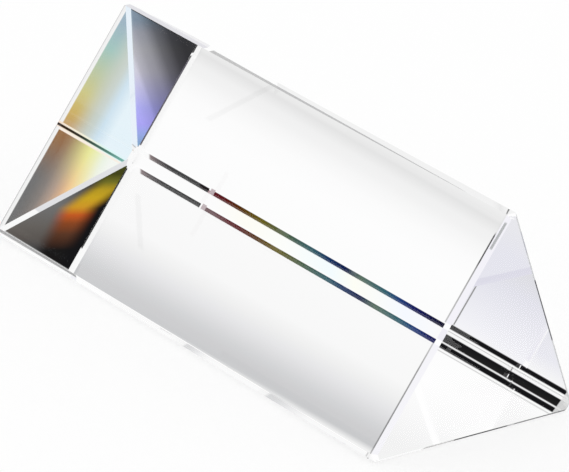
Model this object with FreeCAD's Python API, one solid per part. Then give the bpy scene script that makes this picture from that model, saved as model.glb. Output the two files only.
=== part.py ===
# Equilateral glass prism, one polished solid lying on one of its three long faces.
# Millimetres, +Z up, +X along the prism. The origin is under the middle of the prism,
# on the surface that it lies on.
import FreeCAD
import Part

import math
import os

# Driving dimensions
side = 30.0  # side of the triangle, measured to the sharp corners before bevelling
length = 60.0  # between the two end faces
corner_angle = 60.0  # between two long faces, in degrees
long_flat = 1.25  # width of the flat ground along each long edge
end_bevel = 0.45  # cut by the bevel round each end face, on both faces that it joins

# A flat of that width across a corner takes this much off each of the two long faces.
flat_setback = long_flat / 2 / math.sin(math.radians(corner_angle / 2))


def triangle_corners():
    """Sharp corners of the section: lower front, lower back and top."""
    half = side / 2
    height = half * math.tan(math.radians(corner_angle))
    return [
        FreeCAD.Vector(0, -half, 0),
        FreeCAD.Vector(0, half, 0),
        FreeCAD.Vector(0, 0, height),
    ]


def section_points():
    """Section with each sharp corner cut back to its flat, two points at each corner."""
    corners = triangle_corners()
    points = []
    for index, corner in enumerate(corners):
        for neighbour in (corners[index - 1], corners[(index + 1) % len(corners)]):
            towards = (neighbour - corner).normalize()
            points.append(corner + towards * flat_setback)
    return points


def bar():
    """Six-sided bar: three long faces, and a narrow flat between each two of them."""
    points = section_points()
    outline = Part.makePolygon(points + points[:1])
    solid = Part.Face(outline).extrude(FreeCAD.Vector(length, 0, 0))
    solid.translate(FreeCAD.Vector(-length / 2, 0, 0))
    return solid


def end_edges(solid):
    """Edges that lie round either end face."""
    edges = []
    for edge in solid.Edges:
        from_middle = abs(edge.CenterOfMass.x)
        if abs(from_middle - length / 2) < 0.001:
            edges.append(edge)
    return edges


def prism():
    """Bar with a narrow bevel round each end face."""
    solid = bar()
    return solid.makeChamfer(end_bevel, end_edges(solid))


def main():
    os.makedirs("parts", exist_ok=True)
    prism().exportStep("parts/glass_prism.step")


main()
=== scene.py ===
# Equilateral glass prism on a plain pale floor, seen from the photograph's angle.
# Metres, +Z up, +X along the prism, -Y towards its front face.
import math

import bpy
import numpy
from mathutils import Matrix, Vector

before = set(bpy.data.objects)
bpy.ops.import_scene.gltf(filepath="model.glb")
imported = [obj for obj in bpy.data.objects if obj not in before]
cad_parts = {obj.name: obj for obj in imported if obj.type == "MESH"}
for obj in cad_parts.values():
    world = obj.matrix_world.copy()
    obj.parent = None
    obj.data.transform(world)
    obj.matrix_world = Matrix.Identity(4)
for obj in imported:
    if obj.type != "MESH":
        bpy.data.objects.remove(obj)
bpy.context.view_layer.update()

# Camera, in the prism's own units: its side is 30 mm
SIDE = 0.030
CAMERA_DISTANCE = 17.6269 * SIDE
CAMERA_RIGHT = 0.0242 * SIDE
CAMERA_UP = 0.3019 * SIDE
CLIP_START = 0.01
CLIP_END = 20.0
FOCAL_PIXELS = 5004.76
IMAGE_WIDTH = 569
IMAGE_HEIGHT = 472
SENSOR_WIDTH = 36.0

# Views, as azimuth, elevation and roll in degrees. Azimuth 0 is towards -Y, and 90 towards +X
PHOTO_VIEW = (43.939, 22.956, 9.318)
BACK_VIEW = (225.0, 15.0, 0.0)

GLASS_IOR = 1.517

# Most times that a ray is turned in the glass
BOUNCES = 1024

FLOOR_HALF = 3.0
FLOOR_HEIGHT = -0.00005
FLOOR_WHITE = 0.98
FLOOR_GLOW = 0.75

# Face normals that light paths in the glass are mirrored in
FACE_TILT = math.radians(30)
BASE = Vector((0, 0, -1))
FRONT = Vector((0, -math.cos(FACE_TILT), math.sin(FACE_TILT)))
BACK = Vector((0, math.cos(FACE_TILT), math.sin(FACE_TILT)))
END = Vector((1, 0, 0))

# Shown colours, from 0 to 255, with greys as one number. They are painted into the world for the glass
# alone to show: painted shade, painted reflections and painted spectrum lines
WHITE = (255, 255, 255)
BLACK = (22, 22, 24)
BORDER_GREY = 120
PALE_LINE_GREY = 222
TIP_GREY = 224
TOP_SHADE_GREY = 165
DARK_RIM_GREY = 34
BASE_RIM_GREY = 238
TOP_RIM_GREY = (214, 213, 220)
DIVIDE_PALE = (255, 244, 232)
BESIDE_UPPER_LEFT = (236, 246, 255)
BESIDE_LOWER_LEFT = (228, 229, 232)

# Factors that take x or y from a pixel point (x, y, 1)
PIXEL_X = (1, 0, 0)
PIXEL_Y = (0, 1, 0)

# Lines in the picture, as two pixel points from left to right or from top to bottom
FLAT_LINE = ((216.5, 191.0), (441.5, 320.2))
LEFT_OUTLINE = ((128.5, 8.0), (3.5, 228.5))
TRIANGLE_MIDDLE = ((131.0, 8.0), (137.0, 150.0))
TRIANGLE_TOP = ((134.5, 10.5), (191.5, 41.8))
TRIANGLE_RIGHT = ((197.0, 50.0), (139.0, 148.0))
DIVIDE = ((60.5, 121.0), (122.5, 156.8))
LOWER_MIDDLE = ((3.5, 229.0), (123.5, 164.5))
BOTTOM_RIGHT = ((130.0, 170.0), (72.0, 271.0))
FAR_BASE = ((3.5, 230.5), (71.5, 272.0))
GLOSS_BORDER = ((200.7, 49.5), (76.2, 268.5))
NEAR_BEVEL = ((508.0, 222.0), (376.0, 453.0))
NEAR_BEVEL_HIGH = ((505.0, 218.5), (446.9, 320.5))
NEAR_BEVEL_LOW = ((431.6, 347.5), (373.0, 450.5))
NEAR_BORDER = ((464.0, 307.0), (453.0, 326.0))
TIP_BORDER = ((567.0, 392.0), (551.0, 414.0))

# The middle between the two edge lines in the view over the back face
BACK_LINE = ((232.0, 251.0), (379.0, 289.0))

# Bands beside one of these lines, in pixels: middle, half width and soft width
UPPER_LINE = (3.9, 2.3, 0.6)
LOWER_LINE = (21.5, 2.2, 0.6)
LOWER_LINE_START = (21.2, 2.4, 0.6)
PALE_LINE = (26.2, 0.2, 0.6)
BEVEL_SHADE = (0.7, 0.5, 0.6)
BORDER_SHADE = (0.0, 0.4, 0.6)
DIVIDE_LINE = (3.3, 0.9, 0.8)
DIVIDE_BAND = (3.5, 4.2, 0.3)
OVER_DIVIDE = (-15.0, 9.0, 2.0)
ROUND_DIVIDE = (-16.0, 20.0, 2.0)
TOP_RIM = (-2.0, 2.6, 0.8)
STREAK = (0.0, 3.0, 17.0)
BACK_EDGE_LINE = (5.2, 2.6, 0.6)

# Pixel distances between which an amount goes from 0 to 1
BUNDLE_TOP = (-1.9, -1.7)
BUNDLE_BOTTOM = (28.4, 28.2)
BORDER_TOP = (-1, -3)
GLOSS_SIDE = (-4, 4)
GLOSS_BASE = (12, 6)
TIP_SIDE = (0.5, -0.5)
TOP_SHADE_DEPTH = (-100, -106)
DARK_RIM = (1.2, 0.4)
RIM_END = (-3, -4)
MIDDLE_SIDE = (-2, 2)
OUTLINE_SIDE = (-1.2, -0.2)
DIVIDE_SIDE = (7.4, 8.0)
INNER_FADE = (4, 27)
LOW_FADE = (138, 196)
GREY_FADE = (14, 48)
BASE_RIM = (-1.2, 0.4)
BOTTOM_END = (-4, -5)
DARK_BASE = (6, 3)

# Pixel x between which an amount goes from 0 to 1
LINES_START = (199, 201)
TOP_SHADE_END = (470, 460)
DIVIDE_END = (133, 131)
ROUND_DIVIDE_END = (134, 132)

# Pixels by which the lower edge line's colours come after the upper one's, and its start before
LOWER_LINE_LAG = 14
LOWER_START_LEAD = 9

# Factors of a pixel point that darken the upper right triangle towards its right corner, as painted
# shade
RIGHT_FALL = (1, -0.35, -124)

# Heights between which the streak in the lower triangle leaves its right edge, and how far
STREAK_HEIGHTS = (186, 208)
STREAK_AWAY = (9.6, 26)

# Pixels of the view from 45 degrees, 25 up, in the photograph's frame, each with the photograph's
# pixel that shows the same thing, and the line that parts the two
SECOND_PAIRS = (
    ((0, 300), (36.9, 76.1)), ((300, 300), (486.9, 67.2)),
    ((0, 500), (38.9, 369.4)), ((300, 500), (488.9, 360.6)),
)
SECOND_LIMIT = ((60.0, 285.0), (380.0, 475.0))

# Pixel boxes that pictures are seen in, as middle and half size
PHOTO_BOX = ((248, 150), (323, 450))
BACK_BOX = ((305, 270), (78, 36))

# How closely a direction follows a view's line of sight
SAME_WAY = 0.985
SAME_SIDE = 0.9

# Turns a direction past the far end's bevel into pixels below the flat's line, and the window of
# directions and the depths that the gap in the near bevel shows
GAP_DEPTH = (11.912, -2471.70, -4360.12)
GAP_WINDOW = (-67.85, 11.77, 0.3, 0.3)
GAP_BAND = (13.2, 14.8, 0.4)

# Small painted patches of shade, glints and tones that the bevels and faces show, seen only in the
# glass: azimuth, elevation, half width and half height in degrees, and shown colour
PAINTED_REFLECTION_CARDS = (
    # Over the front face, from the photograph's side
    (127.75, -19.05, 1.2, 0.6, (88, 84, 96)),
    (127.15, -20.45, 1.2, 0.5, (28, 28, 30)),
    (-52.4, 29.6, 1.4, 0.7, (217, 216, 229)),
    (-68.05, 12.22, 0.5, 0.22, (233, 232, 240)),
    # Painted tone of the near bevel, and a painted grey glint on it
    (-89.6, -12.2, 0.9, 0.4, (238, 236, 246)),
    (-89.13, -12.14, 0.16, 0.04, (120, 126, 130)),
    (-100.0, 7.1, 1.2, 0.9, (240, 239, 246)),
    (-100.3, -6.4, 0.4, 0.4, (230, 228, 240)),
    (25.5, -24.75, 0.6, 0.7, (216, 215, 229)),
    (122.7, -17.8, 0.6, 0.5, (34, 34, 36)),
    (88.7, -41.7, 0.6, 0.6, (58, 58, 60)),
    (96.3, -37.2, 0.6, 0.6, (64, 64, 66)),
    (45.45, -20.0, 0.45, 0.35, BLACK),
    (77.7, -47.0, 1.6, 0.9, (232, 232, 236)),
    (53.8, 15.7, 0.4, 0.4, (150, 112, 118)),
    (-16.6, 28.5, 0.4, 0.4, (190, 176, 180)),
    (-43.3, 18.05, 0.5, 0.35, (40, 40, 44)),
    (-154.85, -17.5, 0.8, 1.3, (120, 120, 124)),
    (-148.8, -36.35, 0.9, 0.5, (60, 60, 62)),
    (-47.45, 26.2, 0.5, 0.3, (50, 50, 52)),
    # From straight ahead and from the end
    (0.0, 56.45, 2.3, 0.2, (40, 42, 60)),
    (-90.0, -27.6, 2.8, 0.3, 120),
    (-90.0, 23.33, 0.6, 0.3, 120),
    # From behind
    (111.72, -71.03, 0.5, 0.2, 110),
    (-94.29, -39.18, 0.3, 0.6, 110),
    (-39.67, 24.19, 0.5, 0.25, 110),
    (19.26, 22.69, 0.12, 0.35, 110),
)

# The same for painted patches of shade that stand in pairs on both sides of an azimuth, with the angle
# from it
PAINTED_REFLECTION_PAIRS = (
    (0.0, 44.5, -50.2, 0.8, 0.9, 110),
    (0.0, 153.5, 0.4, 0.5, 0.4, 110),
    (0.0, 158.1, 23.6, 0.4, 0.3, 110),
    (0.0, 177.82, 2.9, 0.12, 0.6, 90),
    (-90.0, 22.75, 16.6, 0.5, 0.6, 110),
    (-90.0, 23.08, -15.9, 0.4, 0.5, 110),
    (-90.0, 20.84, 10.77, 0.4, 0.5, 110),
)

# Painted shade panels that give the faces their tones from straight ahead, from the end and from
# behind, seen only in the glass: azimuth, elevation, half width and half height in degrees, and shown
# colours at bottom and top
PAINTED_SHADE_PANELS = (
    (0.0, -62.72, 2.4, 0.75, 252, (222, 222, 225)),
    (180.0, 3.77, 2.4, 0.2, 250, (200, 201, 204)),
    (-90.0, -3.0, 1.3, 0.95, (242, 242, 246), (222, 222, 231)),
    (-90.0, 3.98, 1.3, 0.2, (238, 238, 242), (238, 238, 242)),
    (100.22, -46.14, 0.9, 1.35, 251, (224, 226, 230)),
    (45.24, 15.76, 1.36, 0.72, 249, (202, 203, 206)),
    (-99.7, -44.56, 0.85, 0.6, (222, 226, 255), (112, 116, 136)),
    (-46.87, 15.32, 0.55, 0.5, (240, 238, 170), (112, 100, 92)),
    (131.6, 27.95, 0.44, 0.75, (228, 228, 236), (236, 236, 242)),
    (100.73, 47.6, 0.55, 0.45, (224, 224, 234), (232, 232, 240)),
    (42.8, -15.95, 0.22, 0.22, (234, 234, 240), (234, 234, 240)),
    (131.49, -27.19, 0.15, 0.15, (234, 234, 240), (234, 234, 240)),
)

# Soft width of the edges of the painted patches and panels, in degrees
PAINTED_EDGE_SOFT = 0.03


def view_axes(azimuth, elevation, roll=0.0):
    """Right, up and back of a view at these angles in degrees."""
    azimuth, elevation, roll = (math.radians(angle) for angle in (azimuth, elevation, roll))
    flat = math.cos(elevation)
    back = Vector((math.sin(azimuth) * flat, -math.cos(azimuth) * flat, math.sin(elevation)))
    level = Vector((0, 0, 1)).cross(back).normalized()
    upright = back.cross(level)
    right = level * math.cos(roll) + upright * math.sin(roll)
    up = upright * math.cos(roll) - level * math.sin(roll)
    return right, up, back


def add_camera():
    """Camera at the photograph's angle, rolled about its line of sight."""
    right, up, back = view_axes(*PHOTO_VIEW)
    data = bpy.data.cameras.new("camera")
    data.sensor_width = SENSOR_WIDTH
    data.sensor_fit = "HORIZONTAL"
    data.lens = FOCAL_PIXELS / IMAGE_WIDTH * SENSOR_WIDTH
    data.clip_start = CLIP_START
    data.clip_end = CLIP_END
    camera = bpy.data.objects.new("camera", data)
    place = back * CAMERA_DISTANCE + right * CAMERA_RIGHT + up * CAMERA_UP
    turn = Matrix((right, up, back)).transposed().to_4x4()
    camera.matrix_world = Matrix.Translation(place) @ turn
    bpy.context.collection.objects.link(camera)
    bpy.context.scene.camera = camera


def linear(shown):
    """Scene colour of a shown one from 0 to 255, or of a grey given as one number."""
    parts = shown if isinstance(shown, tuple) else (shown, shown, shown)
    scaled = [part / 255 for part in parts]
    return tuple(((v + 0.055) / 1.055) ** 2.4 if v > 0.04045 else v / 12.92 for v in scaled)


class Kit:
    """Short calls for shader nodes. A value is a number, a vector or another node's output."""

    def __init__(self, tree):
        self.tree = tree

    def add(self, kind, inputs=(), **settings):
        """New node with these settings, and its inputs set or linked."""
        node = self.tree.nodes.new(kind)
        for name, value in settings.items():
            setattr(node, name, value)
        for key, value in inputs:
            if isinstance(value, bpy.types.NodeSocket):
                self.tree.links.new(value, node.inputs[key])
            else:
                node.inputs[key].default_value = value
        return node

    def math(self, operation, *values):
        """Result of one sum, product or comparison."""
        return self.add("ShaderNodeMath", tuple(enumerate(values)), operation=operation).outputs[0]

    def both(self, *amounts):
        """Product of several amounts."""
        product = amounts[0]
        for amount in amounts[1:]:
            product = self.math("MULTIPLY", product, amount)
        return product

    def dot(self, vector, fixed):
        """Product of a vector with a fixed one."""
        inputs = ((0, vector), (1, tuple(fixed)))
        node = self.add("ShaderNodeVectorMath", inputs, operation="DOT_PRODUCT")
        return node.outputs["Value"]

    def step(self, value, low, high):
        """0 on the low side and 1 on the high side, with a soft change between."""
        inputs = (("Value", value), ("From Min", low), ("From Max", high))
        node = self.add("ShaderNodeMapRange", inputs, interpolation_type="SMOOTHSTEP", clamp=True)
        return node.outputs["Result"]

    def ridge(self, value, middle, half, soft):
        """1 within half of the middle, falling to 0 over the soft width outside."""
        away = self.math("ABSOLUTE", self.math("SUBTRACT", value, middle))
        return self.step(away, half + soft, half)

    def grade(self, value, stops):
        """Colour along a value, from (value, shown colour) stops."""
        low, high = stops[0][0], stops[-1][0]
        inputs = (("Value", value), ("From Min", low), ("From Max", high))
        along = self.add("ShaderNodeMapRange", inputs, clamp=True).outputs["Result"]
        ramp = self.add("ShaderNodeValToRGB", (("Fac", along),))
        elements = ramp.color_ramp.elements
        while len(elements) < len(stops):
            elements.new(1.0)
        for element, (place, shown) in zip(elements, stops):
            element.position = (place - low) / (high - low)
            element.color = (*linear(shown), 1)
        return ramp.outputs["Color"]

    def blend(self, under, over, amount, kind="MIX"):
        """One colour laid over another by an amount."""
        inputs = (("Fac", amount), ("Color1", self.colour(under)), ("Color2", self.colour(over)))
        return self.add("ShaderNodeMixRGB", inputs, blend_type=kind).outputs["Color"]

    def choose(self, first, second, amount):
        """The first vector, or the second where the amount is 1."""
        # Sockets 4 and 5 are this node's vectors
        inputs = ((0, amount), (4, first), (5, second))
        return self.add("ShaderNodeMix", inputs, data_type="VECTOR").outputs[1]

    def colour(self, value):
        """Colour for a socket, from a shown colour or another node's output."""
        return value if isinstance(value, bpy.types.NodeSocket) else (*linear(value), 1)


def beside(kit, point, line):
    """Pixels from a line given by two points, positive below it or to its left."""
    (x0, y0), (x1, y1) = line
    length = math.hypot(x1 - x0, y1 - y0)
    across = (-(y1 - y0) / length, (x1 - x0) / length)
    return kit.dot(point, (across[0], across[1], -(across[0] * x0 + across[1] * y0)))


def right_of(kit, point, line):
    """Pixels from a line, positive to its right."""
    return kit.math("MULTIPLY", beside(kit, point, line), -1)


def along(kit, point, line):
    """Pixels along a line from its first point."""
    (x0, y0), (x1, y1) = line
    length = math.hypot(x1 - x0, y1 - y0)
    way = ((x1 - x0) / length, (y1 - y0) / length)
    return kit.dot(point, (way[0], way[1], -(way[0] * x0 + way[1] * y0)))


def on_low_side(kit, point, line):
    """1 below a line or to its left."""
    return kit.step(beside(kit, point, line), -1, 1)


def on_high_side(kit, point, line):
    """1 above a line or to its right."""
    return kit.step(beside(kit, point, line), 1, -1)


def bundle(kit, depth, under):
    """Painted dark and pale lines, standing in for reflected shade and light, that run on from the
    flat, over another colour.
    """
    stops = (
        (-1.9, WHITE), (-0.9, BLACK), (3.0, BLACK), (4.0, 250), (5.4, 250), (5.9, 165), (6.5, 245),
        (9.0, 250), (9.9, BLACK), (17.4, 34), (18.2, 235), (19.0, 235), (19.8, BLACK), (24.3, BLACK),
        (25.2, 250), (26.8, 250), (27.4, 190), (28.4, 250),
    )
    inside = kit.both(kit.step(depth, *BUNDLE_TOP), kit.step(depth, *BUNDLE_BOTTOM))
    return kit.blend(under, kit.grade(depth, stops), inside)


def bevel_shade(kit, point, colour, line, stops):
    """Fine dark line where the front face meets the near bevel."""
    shade = kit.grade(kit.dot(point, PIXEL_Y), stops)
    return kit.blend(colour, shade, kit.ridge(beside(kit, point, line), *BEVEL_SHADE), "MULTIPLY")


def front_high(kit, point):
    """Painted tones of shade and reflection seen in the upper half of the front face."""
    stops = (
        (-124, 238), (-115, 231), (-112, 225), (-100, 239), (-92, 241), (-83, 246), (-68, 251),
        (-45, 253), (0, 252),
    )
    edge_stops = ((232, 250), (236, 40), (262, 40), (270, 150), (322, 190))
    tone = kit.grade(beside(kit, point, FLAT_LINE), stops)
    return bevel_shade(kit, point, tone, NEAR_BEVEL_HIGH, edge_stops)


def front_low(kit, point):
    """Painted tones of shade and reflection seen in the lower half of the front face."""
    stops = (
        (24, 249), (74, 247), (90, 238), (104, (227, 227, 229)), (115, (216, 216, 218)),
        (124, (206, 207, 209)), (133, (200, 200, 202)), (144, (197, 198, 200)), (150, 242), (200, 250),
    )
    edge_stops = ((345, 200), (370, 150), (430, 150), (450, 190))
    tone = kit.grade(beside(kit, point, FLAT_LINE), stops)
    return bevel_shade(kit, point, tone, NEAR_BEVEL_LOW, edge_stops)


def line_colours(kit, place):
    """Painted spectrum, standing in for the glass's dispersion, along the upper edge line, by the
    picture's x.
    """
    stops = (
        (200, (110, 84, 88)), (214, (95, 30, 38)), (225, (90, 20, 24)), (241, (86, 50, 10)),
        (262, (104, 94, 24)), (288, (74, 96, 72)), (312, (56, 97, 106)), (328, (20, 52, 98)),
        (346, (14, 26, 76)), (361, (90, 112, 98)), (384, (48, 96, 108)), (400, (30, 60, 120)),
        (414, (24, 28, 92)), (440, (20, 20, 48)),
    )
    return kit.grade(place, stops)


def near_end_painted_tones(kit, point, depth):
    """Painted tones and dark lines of the near end, with painted shade at its border."""
    stops = (
        (-110, 208), (-60, (222, 222, 232)), (-12, (239, 239, 245)), (24, 252), (60, 254),
        (90, 250), (125, 240),
    )
    border = kit.ridge(beside(kit, point, NEAR_BORDER), *BORDER_SHADE)
    colour = bundle(kit, depth, kit.grade(depth, stops))
    return kit.blend(colour, BORDER_GREY, kit.both(border, kit.step(depth, *BORDER_TOP)))


def mirrored_in_front(kit, point):
    """Painted spectrum edge lines, the near end's painted tones, and the painted dark reflection at the
    left end.
    """
    depth = beside(kit, point, FLAT_LINE)
    place = kit.dot(point, PIXEL_X)
    started = kit.step(place, *LINES_START)
    upper, lower, pale = (
        kit.both(started, kit.ridge(depth, *band)) for band in (UPPER_LINE, LOWER_LINE, PALE_LINE)
    )
    colour = kit.blend(WHITE, line_colours(kit, place), upper)
    later = kit.math("SUBTRACT", place, LOWER_LINE_LAG)
    colour = kit.blend(colour, line_colours(kit, later), lower)
    colour = kit.blend(colour, PALE_LINE_GREY, pale)
    near_side = on_high_side(kit, point, NEAR_BEVEL)
    colour = kit.blend(colour, near_end_painted_tones(kit, point, depth), near_side)
    left = kit.step(beside(kit, point, GLOSS_BORDER), *GLOSS_SIDE)
    above_base = kit.step(beside(kit, point, FAR_BASE), *GLOSS_BASE)
    return kit.blend(colour, BLACK, kit.both(left, above_base))


def straight_through(kit, point):
    """Painted tints of the band between the edge lines, and painted tones, dark lines and shade of the
    right part of the near end and its top.
    """
    depth = beside(kit, point, FLAT_LINE)
    place = kit.dot(point, PIXEL_X)
    tints = (
        (130, 252), (215, 251), (245, (253, 252, 244)), (285, (251, 253, 250)),
        (332, (242, 251, 254)), (354, (253, 253, 244)), (405, (244, 248, 255)), (440, 250),
    )
    near_stops = ((-60, (222, 222, 230)), (-20, (230, 230, 238)), (0, 246), (28, 250), (60, 244))
    near = bundle(kit, depth, kit.grade(depth, near_stops))
    near = kit.blend(near, TIP_GREY, kit.step(beside(kit, point, TIP_BORDER), *TIP_SIDE))
    colour = kit.blend(kit.grade(place, tints), near, on_high_side(kit, point, NEAR_BEVEL))
    top_shade = kit.both(kit.step(depth, *TOP_SHADE_DEPTH), kit.step(place, *TOP_SHADE_END))
    return kit.blend(colour, TOP_SHADE_GREY, top_shade)


def left_triangle(kit, point, inward):
    """Painted pale spectrum at the far end's upper left."""
    edge_stops = (
        (15, (158, 182, 198)), (45, (162, 200, 192)), (67, (186, 202, 170)), (95, (208, 202, 132)),
        (118, (210, 182, 108)), (134, (196, 158, 108)),
    )
    inner_stops = (
        (20, (202, 210, 200)), (27, (204, 214, 208)), (36, (210, 231, 244)), (48, (234, 248, 255)),
    )
    edge = kit.grade(along(kit, point, LEFT_OUTLINE), edge_stops)
    return kit.blend(edge, kit.grade(inward, inner_stops), kit.step(inward, *INNER_FADE))


def right_triangle(kit, point):
    """Painted violet going into painted shade at the far end's upper right."""
    shade_stops = (
        (-25, 255), (-12, 228), (-8, 200), (2, 172), (8, 162), (17, 126), (20, 112), (33, 72), (44, 58),
    )
    tint_stops = (
        (20, (205, 230, 255)), (32, (236, 240, 255)), (50, (246, 246, 255)), (72, (240, 238, 255)),
        (88, (216, 214, 255)), (108, (184, 183, 255)), (124, (178, 172, 255)), (134, (160, 176, 240)),
        (146, (130, 172, 205)),
    )
    shade = kit.grade(kit.dot(point, RIGHT_FALL), shade_stops)
    colour = kit.blend(shade, kit.grade(kit.dot(point, PIXEL_Y), tint_stops), 1.0, "MULTIPLY")
    rim = kit.step(beside(kit, point, TRIANGLE_TOP), *DARK_RIM)
    return kit.blend(colour, DARK_RIM_GREY, rim)


def outline(kit, colour, inward, outside):
    """Painted white strip with a painted grey rim of shade outside the far end's left edge, and another
    colour beyond it.
    """
    stops = ((-6.2, outside), (-5.6, outside), (-5.0, 150), (-4.0, 245), (-0.6, 250), (0.2, 235))
    return kit.blend(kit.grade(inward, stops), colour, kit.step(inward, *OUTLINE_SIDE))


def outlined_triangle(kit, point):
    """The painted upper left triangle and its painted outline, on white."""
    inward = right_of(kit, point, LEFT_OUTLINE)
    return outline(kit, left_triangle(kit, point, inward), inward, WHITE)


def upper_triangles(kit, point):
    """Painted view of the far end seen over the back face."""
    inward = right_of(kit, point, LEFT_OUTLINE)
    right_side = kit.step(right_of(kit, point, TRIANGLE_MIDDLE), *MIDDLE_SIDE)
    colour = kit.blend(left_triangle(kit, point, inward), right_triangle(kit, point), right_side)
    colour = kit.blend(colour, WHITE, kit.step(beside(kit, point, TRIANGLE_RIGHT), *RIM_END))
    return outline(kit, colour, inward, BESIDE_UPPER_LEFT)


def lower_left_triangle(kit, point, inward):
    """Painted pale yellow spectrum at the far end's lower left, under the pale line of the divide."""
    high_stops = (
        (3, (150, 104, 52)), (8, (147, 98, 48)), (15, (160, 126, 86)), (24, (192, 179, 117)),
        (31, (222, 216, 138)), (37, (238, 239, 154)), (45, (240, 244, 192)), (53, (240, 249, 233)),
        (61, (248, 252, 247)),
    )
    low_stops = (
        (3, 105), (8, (112, 109, 107)), (15, (130, 122, 117)), (24, (175, 152, 136)),
        (31, (214, 174, 138)), (37, (246, 200, 145)), (45, (248, 228, 164)), (56, (246, 248, 236)),
    )
    high, low = kit.grade(inward, high_stops), kit.grade(inward, low_stops)
    colour = kit.blend(high, low, kit.step(along(kit, point, LEFT_OUTLINE), *LOW_FADE))
    return kit.blend(DIVIDE_PALE, colour, kit.step(beside(kit, point, DIVIDE), *DIVIDE_SIDE))


def bottom_triangle(kit, point):
    """Painted orange spectrum streak in painted dark at the far end's lower right."""
    grey_stops = ((205, 118), (226, (106, 102, 98)), (238, (95, 90, 86)), (248, 76), (262, 30))
    streak_stops = (
        (174, (70, 72, 28)), (182, (118, 116, 42)), (190, (189, 159, 38)), (198, (207, 170, 37)),
        (207, (214, 156, 42)), (215, (202, 94, 38)), (223, (144, 74, 38)), (234, (94, 58, 40)),
        (250, (26, 25, 25)),
    )
    height = kit.dot(point, PIXEL_Y)
    inward = beside(kit, point, BOTTOM_RIGHT)
    colour = kit.blend(BLACK, kit.grade(height, grey_stops), kit.step(inward, *GREY_FADE))
    spread = (
        ("Value", height), ("From Min", STREAK_HEIGHTS[0]), ("From Max", STREAK_HEIGHTS[1]),
        ("To Min", STREAK_AWAY[0]), ("To Max", STREAK_AWAY[1]),
    )
    middle = kit.add("ShaderNodeMapRange", spread, clamp=True).outputs["Result"]
    streak = kit.ridge(kit.math("SUBTRACT", inward, middle), *STREAK)
    return kit.blend(colour, kit.grade(height, streak_stops), streak)


def lower_triangles(kit, point):
    """Painted view of the far end seen over the base."""
    inward = right_of(kit, point, LEFT_OUTLINE)
    below = on_low_side(kit, point, LOWER_MIDDLE)
    colour = kit.blend(lower_left_triangle(kit, point, inward), bottom_triangle(kit, point), below)
    colour = kit.blend(colour, BASE_RIM_GREY, kit.step(beside(kit, point, FAR_BASE), *BASE_RIM))
    colour = kit.blend(colour, WHITE, kit.step(beside(kit, point, BOTTOM_RIGHT), *BOTTOM_END))
    return outline(kit, colour, inward, BESIDE_LOWER_LEFT)


def dark_bottom(kit, point):
    """1 in the far end's lower right triangle, where painted dark goes."""
    return kit.both(
        on_low_side(kit, point, LOWER_MIDDLE),
        on_low_side(kit, point, BOTTOM_RIGHT),
        kit.step(beside(kit, point, FAR_BASE), *DARK_BASE),
    )


def divide_band(kit, point):
    """Painted thin dark and white lines between the two left triangles, over white or the painted dark
    below them.
    """
    line_stops = (
        (60, (34, 14, 4)), (80, (16, 14, 4)), (92, (40, 72, 50)), (104, (56, 110, 92)),
        (122, (110, 176, 164)), (130, (160, 205, 196)),
    )
    pale_stops = (
        (60, (252, 232, 214)), (84, (252, 248, 226)), (108, (228, 255, 252)), (126, (232, 250, 255)),
    )
    depth = beside(kit, point, DIVIDE)
    place = kit.dot(point, PIXEL_X)
    line = kit.grade(place, line_stops)
    band = kit.blend(kit.grade(place, pale_stops), line, kit.ridge(depth, *DIVIDE_LINE))
    around = kit.blend(WHITE, outlined_triangle(kit, point), kit.ridge(depth, *OVER_DIVIDE))
    around = kit.blend(around, BLACK, dark_bottom(kit, point))
    return kit.blend(around, band, kit.ridge(depth, *DIVIDE_BAND))


def behind_camera(kit, point):
    """Painted dark behind the camera, seen mirrored in the front face and the far end: the lines' dark
    starts, the divide's line and the dark corners.
    """
    start_stops = (
        (148.5, 250), (150.5, (128, 112, 114)), (158, (84, 76, 78)), (168, (36, 32, 34)), (176, BLACK),
    )
    place = kit.dot(point, PIXEL_X)
    depth = beside(kit, point, FLAT_LINE)
    colour = kit.blend(WHITE, kit.grade(place, start_stops), kit.ridge(depth, *UPPER_LINE))
    earlier = kit.math("ADD", place, LOWER_START_LEAD)
    colour = kit.blend(colour, kit.grade(earlier, start_stops), kit.ridge(depth, *LOWER_LINE_START))
    near_side = on_high_side(kit, point, NEAR_BEVEL)
    colour = kit.blend(colour, bundle(kit, depth, WHITE), near_side)
    top_right = kit.both(
        on_high_side(kit, point, TRIANGLE_MIDDLE), on_low_side(kit, point, TRIANGLE_RIGHT),
    )
    colour = kit.blend(colour, BLACK, kit.math("MAXIMUM", top_right, dark_bottom(kit, point)))
    return kit.blend(colour, divide_band(kit, point), kit.step(place, *DIVIDE_END))


def behind_far_end(kit, point):
    """Painted white, with the left triangle's painted colours by the divide, painted grey shade at the
    far end's edges, and the painted dark lines by the near end.
    """
    by_divide = kit.both(
        kit.ridge(beside(kit, point, DIVIDE), *ROUND_DIVIDE),
        kit.step(kit.dot(point, PIXEL_X), *ROUND_DIVIDE_END),
    )
    colour = kit.blend(WHITE, outlined_triangle(kit, point), by_divide)
    base_stops = ((-0.5, WHITE), (0.8, 96), (2.8, 120), (4.2, 235), (6.0, WHITE))
    base = kit.grade(beside(kit, point, FAR_BASE), base_stops)
    colour = kit.blend(colour, base, 1.0, "MULTIPLY")
    top = kit.ridge(beside(kit, point, TRIANGLE_TOP), *TOP_RIM)
    colour = kit.blend(colour, TOP_RIM_GREY, top)
    lines = bundle(kit, beside(kit, point, FLAT_LINE), WHITE)
    return kit.blend(colour, lines, on_high_side(kit, point, NEAR_BEVEL))


def near_top(kit, point):
    """Painted tones of shade at the top of the near end."""
    stops = ((-115, (228, 228, 234)), (-90, (225, 225, 235)), (-60, (226, 226, 236)))
    return kit.grade(beside(kit, point, FLAT_LINE), stops)


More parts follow.
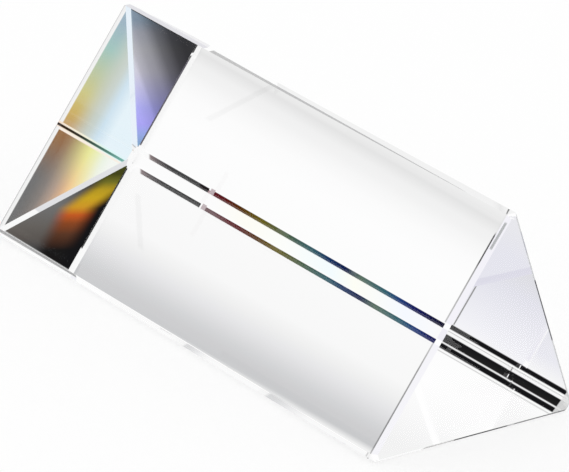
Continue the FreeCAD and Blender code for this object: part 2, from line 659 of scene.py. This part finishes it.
def near_low(kit, point):
    """Painted tones of shade at the lower left of the near end."""
    return kit.grade(beside(kit, point, FLAT_LINE), ((70, 252), (100, 247), (128, 241)))


# Each painted picture of shade, reflections and spectrum lines: the faces that its light path is
# mirrored in, and what is painted to be seen there
PICTURES = (
    ((), straight_through),
    ((FRONT,), mirrored_in_front),
    ((FRONT, END), behind_camera),
    ((BACK,), front_high),
    ((BASE,), front_low),
    ((BACK, END), upper_triangles),
    ((END,), behind_far_end),
    ((BASE, END), lower_triangles),
    ((BACK, BASE), near_top),
    ((BASE, BACK), near_low),
)


def mirrored(vector, faces):
    """A vector mirrored in one face after another."""
    for face in faces:
        vector = vector - 2 * vector.dot(face) * face
    return vector


def pixel_rows(view, faces):
    """Vectors whose products with a mirrored direction are its pixel x and y, times the third."""
    right, up, back = (mirrored(axis, faces) for axis in view_axes(*view))
    x_row = FOCAL_PIXELS * right - IMAGE_WIDTH / 2 * back
    y_row = -FOCAL_PIXELS * up - IMAGE_HEIGHT / 2 * back
    return x_row, y_row, -back


def mapped(rows, pairs):
    """Rows that give the second pixel of each pair where these give the first."""
    equations, values = [], []
    for (x, y), (u, v) in pairs:
        equations.append((x, y, 1, 0, 0, 0, -u * x, -u * y))
        equations.append((0, 0, 0, x, y, 1, -v * x, -v * y))
        values.extend((u, v))
    factors = [*numpy.linalg.solve(equations, values).tolist(), 1.0]
    lines = factors[:3], factors[3:6], factors[6:]
    return [sum((a * row for a, row in zip(line, rows)), Vector((0, 0, 0))) for line in lines]


def pixel_point(kit, direction, rows):
    """Pixel point (x, y, 1) that a direction has in a view."""
    x_row, y_row, ahead_row = rows
    ahead = kit.dot(direction, ahead_row)
    x = kit.math("DIVIDE", kit.dot(direction, x_row), ahead)
    y = kit.math("DIVIDE", kit.dot(direction, y_row), ahead)
    return kit.add("ShaderNodeCombineXYZ", ((0, x), (1, y), (2, 1.0))).outputs[0]


def within(kit, direction, ahead_row, point, box):
    """1 where a point is in a box of pixels, on the side of the world that the view looks at."""
    middle, half = box
    return kit.both(
        kit.math("GREATER_THAN", kit.dot(direction, ahead_row), SAME_WAY),
        kit.ridge(kit.dot(point, PIXEL_X), middle[0], half[0], 1),
        kit.ridge(kit.dot(point, PIXEL_Y), middle[1], half[1], 1),
    )


def draw_picture(kit, direction, faces, paint):
    """A picture's colour in a direction, and 1 where the glass shows it."""
    rows = pixel_rows(PHOTO_VIEW, faces)
    point = pixel_point(kit, direction, rows)
    inside = within(kit, direction, rows[2], point, PHOTO_BOX)
    lower = kit.math("GREATER_THAN", beside(kit, point, SECOND_LIMIT), 0)
    second = pixel_point(kit, direction, mapped(rows, SECOND_PAIRS))
    return paint(kit, kit.choose(point, second, lower)), inside


def window(kit, direction, azimuth, elevation, half_width, half_height):
    """1 inside a soft-edged rectangle of directions, sizes in degrees."""
    right, up, back = view_axes(azimuth, elevation)
    across = kit.dot(direction, right * math.degrees(1))
    upward = kit.dot(direction, up * math.degrees(1))
    return kit.both(
        kit.ridge(across, 0, half_width, PAINTED_EDGE_SOFT),
        kit.ridge(upward, 0, half_height, PAINTED_EDGE_SOFT),
        kit.math("GREATER_THAN", kit.dot(direction, back), SAME_SIDE),
    )


def pasted(kit, pieces):
    """Colours laid one over another where their amounts are 1, and where any of them is."""
    colour, covered = WHITE, 0.0
    for shown, inside in pieces:
        colour = kit.blend(colour, shown, inside)
        covered = kit.math("MAXIMUM", covered, inside)
    return colour, covered


def draw_painted_reflection_cards(kit, direction):
    """Painted patches of shade, glints and tones, of one colour each."""
    pairs = [
        (middle + side * away, *rest) for middle, away, *rest in PAINTED_REFLECTION_PAIRS for side in (1, -1)
    ]
    return pasted(kit, [(shown, window(kit, direction, *box)) for *box, shown in (*PAINTED_REFLECTION_CARDS, *pairs)])


def draw_painted_shade_panels(kit, direction):
    """Painted shade panels whose colour changes from bottom to top."""
    pieces = []
    for azimuth, elevation, half_width, half_height, bottom, top in PAINTED_SHADE_PANELS:
        inside = window(kit, direction, azimuth, elevation, half_width, half_height)
        upward = kit.math("DEGREES", kit.dot(direction, view_axes(azimuth, elevation)[1]))
        pieces.append((kit.grade(upward, ((-half_height, bottom), (half_height, top))), inside))
    return pasted(kit, pieces)


def draw_gap(kit, direction):
    """The painted bundle of dark lines where the near bevel parts it."""
    depth = kit.dot(direction, GAP_DEPTH)
    inside = window(kit, direction, *GAP_WINDOW)
    return bundle(kit, depth, WHITE), kit.both(inside, kit.ridge(depth, *GAP_BAND))


def draw_back_lines(kit, direction):
    """The two painted dark edge lines that the view over the back face sees."""
    rows = pixel_rows(BACK_VIEW, (BACK,))
    point = pixel_point(kit, direction, rows)
    away = kit.math("ABSOLUTE", beside(kit, point, BACK_LINE))
    inside = within(kit, direction, rows[2], point, BACK_BOX)
    stops = ((230, (30, 34, 84)), (380, (84, 60, 52)))
    shown = kit.grade(kit.dot(point, PIXEL_X), stops)
    return shown, kit.both(kit.ridge(away, *BACK_EDGE_LINE), inside)


def layer(kit, direction, under, draw):
    """Another background over the one before, with a node group for its colour and its place."""
    tree = bpy.data.node_groups.new("layer", "ShaderNodeTree")
    tree.interface.new_socket("Direction", in_out="INPUT", socket_type="NodeSocketVector")
    tree.interface.new_socket("Colour", in_out="OUTPUT", socket_type="NodeSocketColor")
    tree.interface.new_socket("Outside", in_out="OUTPUT", socket_type="NodeSocketFloat")
    part = Kit(tree)
    colour, inside = draw(part, part.add("NodeGroupInput").outputs[0])
    part.add("NodeGroupOutput", ((0, colour), (1, part.math("SUBTRACT", 1.0, inside))))
    group = kit.add("ShaderNodeGroup", ((0, direction),), node_tree=tree)
    over = kit.add("ShaderNodeBackground", (("Color", group.outputs["Colour"]),)).outputs[0]
    inputs = ((0, group.outputs["Outside"]), (1, over), (2, under))
    return kit.add("ShaderNodeMixShader", inputs).outputs[0]


def add_world():
    """White studio light. Rays off or through the glass also see painted shade, painted reflections and
    painted spectrum lines, in fixed directions.
    """
    world = bpy.data.worlds.new("studio")
    world.use_nodes = True
    bpy.context.scene.world = world
    tree = world.node_tree
    tree.nodes.clear()
    kit = Kit(tree)
    direction = kit.add("ShaderNodeTexCoord").outputs["Generated"]
    light = (("Color", (1, 1, 1, 1)), ("Strength", 1.0))
    plain = kit.add("ShaderNodeBackground", light).outputs[0]
    seen = plain
    # Painted pictures, panels, patches and lines, laid over the plain white
    for faces, paint in PICTURES:
        seen = layer(kit, direction, seen, lambda part, ray: draw_picture(part, ray, faces, paint))
    for draw in (draw_painted_shade_panels, draw_painted_reflection_cards, draw_gap, draw_back_lines):
        seen = layer(kit, direction, seen, draw)
    # Only rays off or through the glass see the painted layers; diffuse light stays plain white
    path = kit.add("ShaderNodeLightPath").outputs
    through_glass = kit.math("MAXIMUM", path["Is Glossy Ray"], path["Is Transmission Ray"])
    unscattered = kit.math("LESS_THAN", path["Diffuse Depth"], 1.0)
    amount = kit.math("MULTIPLY", through_glass, unscattered)
    last = kit.add("ShaderNodeMixShader", ((0, amount), (1, plain), (2, seen))).outputs[0]
    kit.add("ShaderNodeOutputWorld", (("Surface", last),))
    world.cycles.sampling_method = "NONE"


def glass_material():
    """Clear colourless optical glass."""
    material = bpy.data.materials.new("optical_glass")
    material.use_nodes = True
    shader = material.node_tree.nodes["Principled BSDF"]
    shader.inputs["Base Color"].default_value = (1, 1, 1, 1)
    shader.inputs["Roughness"].default_value = 0.0
    shader.inputs["IOR"].default_value = GLASS_IOR
    shader.inputs["Transmission Weight"].default_value = 1.0
    return material


def floor_material():
    """Matt white, with a glow that only the camera sees, so that the floor looks pale."""
    material = bpy.data.materials.new("floor")
    material.use_nodes = True
    tree = material.node_tree
    tree.nodes.clear()
    kit = Kit(tree)
    white = (FLOOR_WHITE, FLOOR_WHITE, FLOOR_WHITE, 1)
    matte = kit.add("ShaderNodeBsdfDiffuse", (("Color", white),)).outputs[0]
    glow = kit.add("ShaderNodeEmission", (("Color", (1, 1, 1, 1)),)).outputs[0]
    path = kit.add("ShaderNodeLightPath").outputs
    amount = kit.math("MULTIPLY", path["Is Camera Ray"], FLOOR_GLOW)
    mixed = kit.add("ShaderNodeMixShader", ((0, amount), (1, matte), (2, glow))).outputs[0]
    kit.add("ShaderNodeOutputMaterial", (("Surface", mixed),))
    return material


def add_floor():
    """Pale floor, which rays that leave the glass pass, so that they reach the studio."""
    mesh = bpy.data.meshes.new("floor")
    around = ((-1, -1), (1, -1), (1, 1), (-1, 1))
    corners = [(x * FLOOR_HALF, y * FLOOR_HALF, FLOOR_HEIGHT) for x, y in around]
    mesh.from_pydata(corners, [], [(0, 1, 2, 3)])
    mesh.materials.append(floor_material())
    floor = bpy.data.objects.new("floor", mesh)
    bpy.context.collection.objects.link(floor)
    floor.visible_transmission = False
    floor.visible_glossy = False


add_camera()
add_floor()
add_world()
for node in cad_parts:
    for slot in bpy.data.objects[node].material_slots:
        slot.material = glass_material()

scene = bpy.context.scene
scene.view_settings.view_transform = "Standard"
scene.cycles.max_bounces = BOUNCES
scene.cycles.glossy_bounces = BOUNCES
scene.cycles.transmission_bounces = BOUNCES
